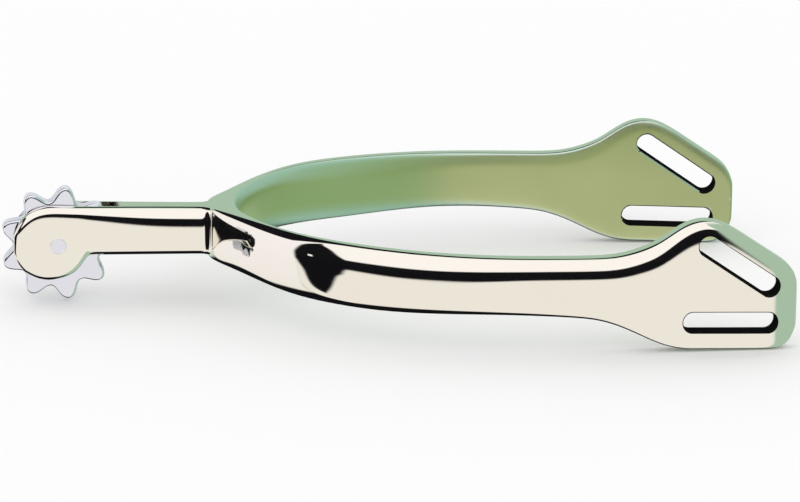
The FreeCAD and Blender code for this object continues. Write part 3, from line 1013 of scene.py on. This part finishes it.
def set_studio():
    """Soft white all round; what polished metal reflects is a studio with black and sage cloths."""
    world = bpy.data.worlds.new("studio")
    bpy.context.scene.world = world
    world.use_nodes = True
    tree = world.node_tree
    tree.nodes.clear()
    turn, up, height = direction(tree)
    behind, right, front, left = (ramp(tree, height, wall)
                                  for wall in (WALL_BEHIND, WALL_RIGHT, WALL_FRONT, WALL_LEFT))
    black = plain_ramp(tree, height, BLACK)
    seen = behind
    front_corners = (RIGHT_CORNERS[1], LEFT_CORNERS[0])
    corners = (RIGHT_CORNERS, front_corners, LEFT_CORNERS)
    for wall, (first, last), soft in zip((right, front, left), corners, CORNER_SOFT):
        seen = blend_colour(tree, between(tree, turn, first, last, soft), seen, wall)
    seen = blend_colour(tree, curtain(tree, turn, up), seen, black)
    seen = blend_colour(tree, canopy(tree, turn, up), seen, black)
    seen = blend_colour(tree, lamp(tree, turn, up), seen, plain_ramp(tree, height, WHITE))

    plain = add(tree, "ShaderNodeBackground")
    plain.inputs["Color"].default_value = (1.0, 1.0, 1.0, 1)
    plain.inputs["Strength"].default_value = DAYLIGHT
    studio = add(tree, "ShaderNodeBackground")
    join(tree, seen, studio.inputs["Color"])
    ray = add(tree, "ShaderNodeLightPath")
    choose = add(tree, "ShaderNodeMixShader")
    join(tree, ray.outputs["Is Glossy Ray"], choose.inputs["Fac"])
    join(tree, plain.outputs["Background"], choose.inputs[1])
    join(tree, studio.outputs["Background"], choose.inputs[2])
    out = add(tree, "ShaderNodeOutputWorld")
    join(tree, choose.outputs["Shader"], out.inputs["Surface"])
    bpy.context.scene.view_settings.view_transform = "Standard"


def set_floor():
    """A wide sheet of pale paper, which the metal doesn't mirror."""
    clear_bench()
    bpy.ops.mesh.primitive_plane_add(size=8, location=(0, 0, 0))
    floor = bpy.context.object
    floor.name = "floor"
    paper = bpy.data.materials.new("floor_paper")
    paper.use_nodes = True
    shader = paper.node_tree.nodes["Principled BSDF"]
    shader.inputs["Base Color"].default_value = (0.93, 0.93, 0.93, 1)
    shader.inputs["Roughness"].default_value = 0.9
    shader.inputs["Specular IOR Level"].default_value = 0.0
    floor.data.materials.append(paper)
    floor.visible_glossy = False


# ---------------------------------------------------------------- the whole spur
def build():
    """Sets up the studio, mixes the finishes with their painted reflection and shade, makes the four
    pieces and dresses them.
    """
    set_camera()
    set_studio()
    set_floor()
    groups = (polish_group(), tone_group())
    centre = (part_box("heel_band")[0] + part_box("heel_band")[1]) / 2
    gold = metal("pale_gold_nickel", groups, (0.95, 0.915, 0.845), (0.93, 0.88, 0.78), (0.97, 0.95, 0.9),
                 0.03, 0.09, centre, 0.05)
    # painted reflection: the inner faces' olive green base colour stands in for the green surroundings
    # they mirror; their rougher finish is their own
    inside_painted_green = metal("pale_gold_inside_painted_green", groups, (0.62, 0.68, 0.36), (0.5, 0.57, 0.26), (0.8, 0.85, 0.7),
                  0.3, 0.45, centre, 0.1)
    # painted reflection: pale sage where the inner faces round over, upwards or downwards
    paint_pale_reflection_where_rounded(inside_painted_green, (0.72, 0.86, 0.78))
    steel = metal("bright_steel", groups, (0.86, 0.87, 0.97), (0.8, 0.8, 0.92), (0.93, 0.93, 0.97),
                  0.06, 0.14, ROWEL_AXIS, 0.08, smudge_scale=150.0)
    # painted shade: the slot walls and their flared mouths are near black and without shine, in place of
    # the shade and dark reflection inside the slots
    slot_painted_shade = metal("slot_wall_painted_shade", groups, (0.003, 0.003, 0.004), (0.006, 0.006, 0.005), (0.02, 0.02, 0.02),
                 0.5, 0.7, centre, 0.2, metallic=0.0, specular=0.0)
    # painted shade: the rowel's cut edge is a flat grey without shine, in place of the steel's own
    # reflection
    edge = metal("steel_edge_painted_shade", groups, (0.7, 0.7, 0.78), (0.6, 0.6, 0.68), (0.8, 0.8, 0.85),
                 0.3, 0.45, ROWEL_AXIS, 0.2, smudge_scale=150.0, metallic=0.0, specular=0.1)
    band = make_heel_band()
    dress(band, "spur_frame", "heel_band", [gold, inside_painted_green, slot_painted_shade])
    lay_band_finishes_and_painted_light(band)
    neck = make_neck()
    dress(neck, "spur_frame", "neck", [gold])
    rowel = make_rowel()
    dress(rowel, "rowel", "rowel", [steel, edge])
    lay_rowel_finish_and_painted_shade(rowel)
    pin = make_pin()
    dress(pin, "spur_frame", "rowel_pin", [steel])


build()
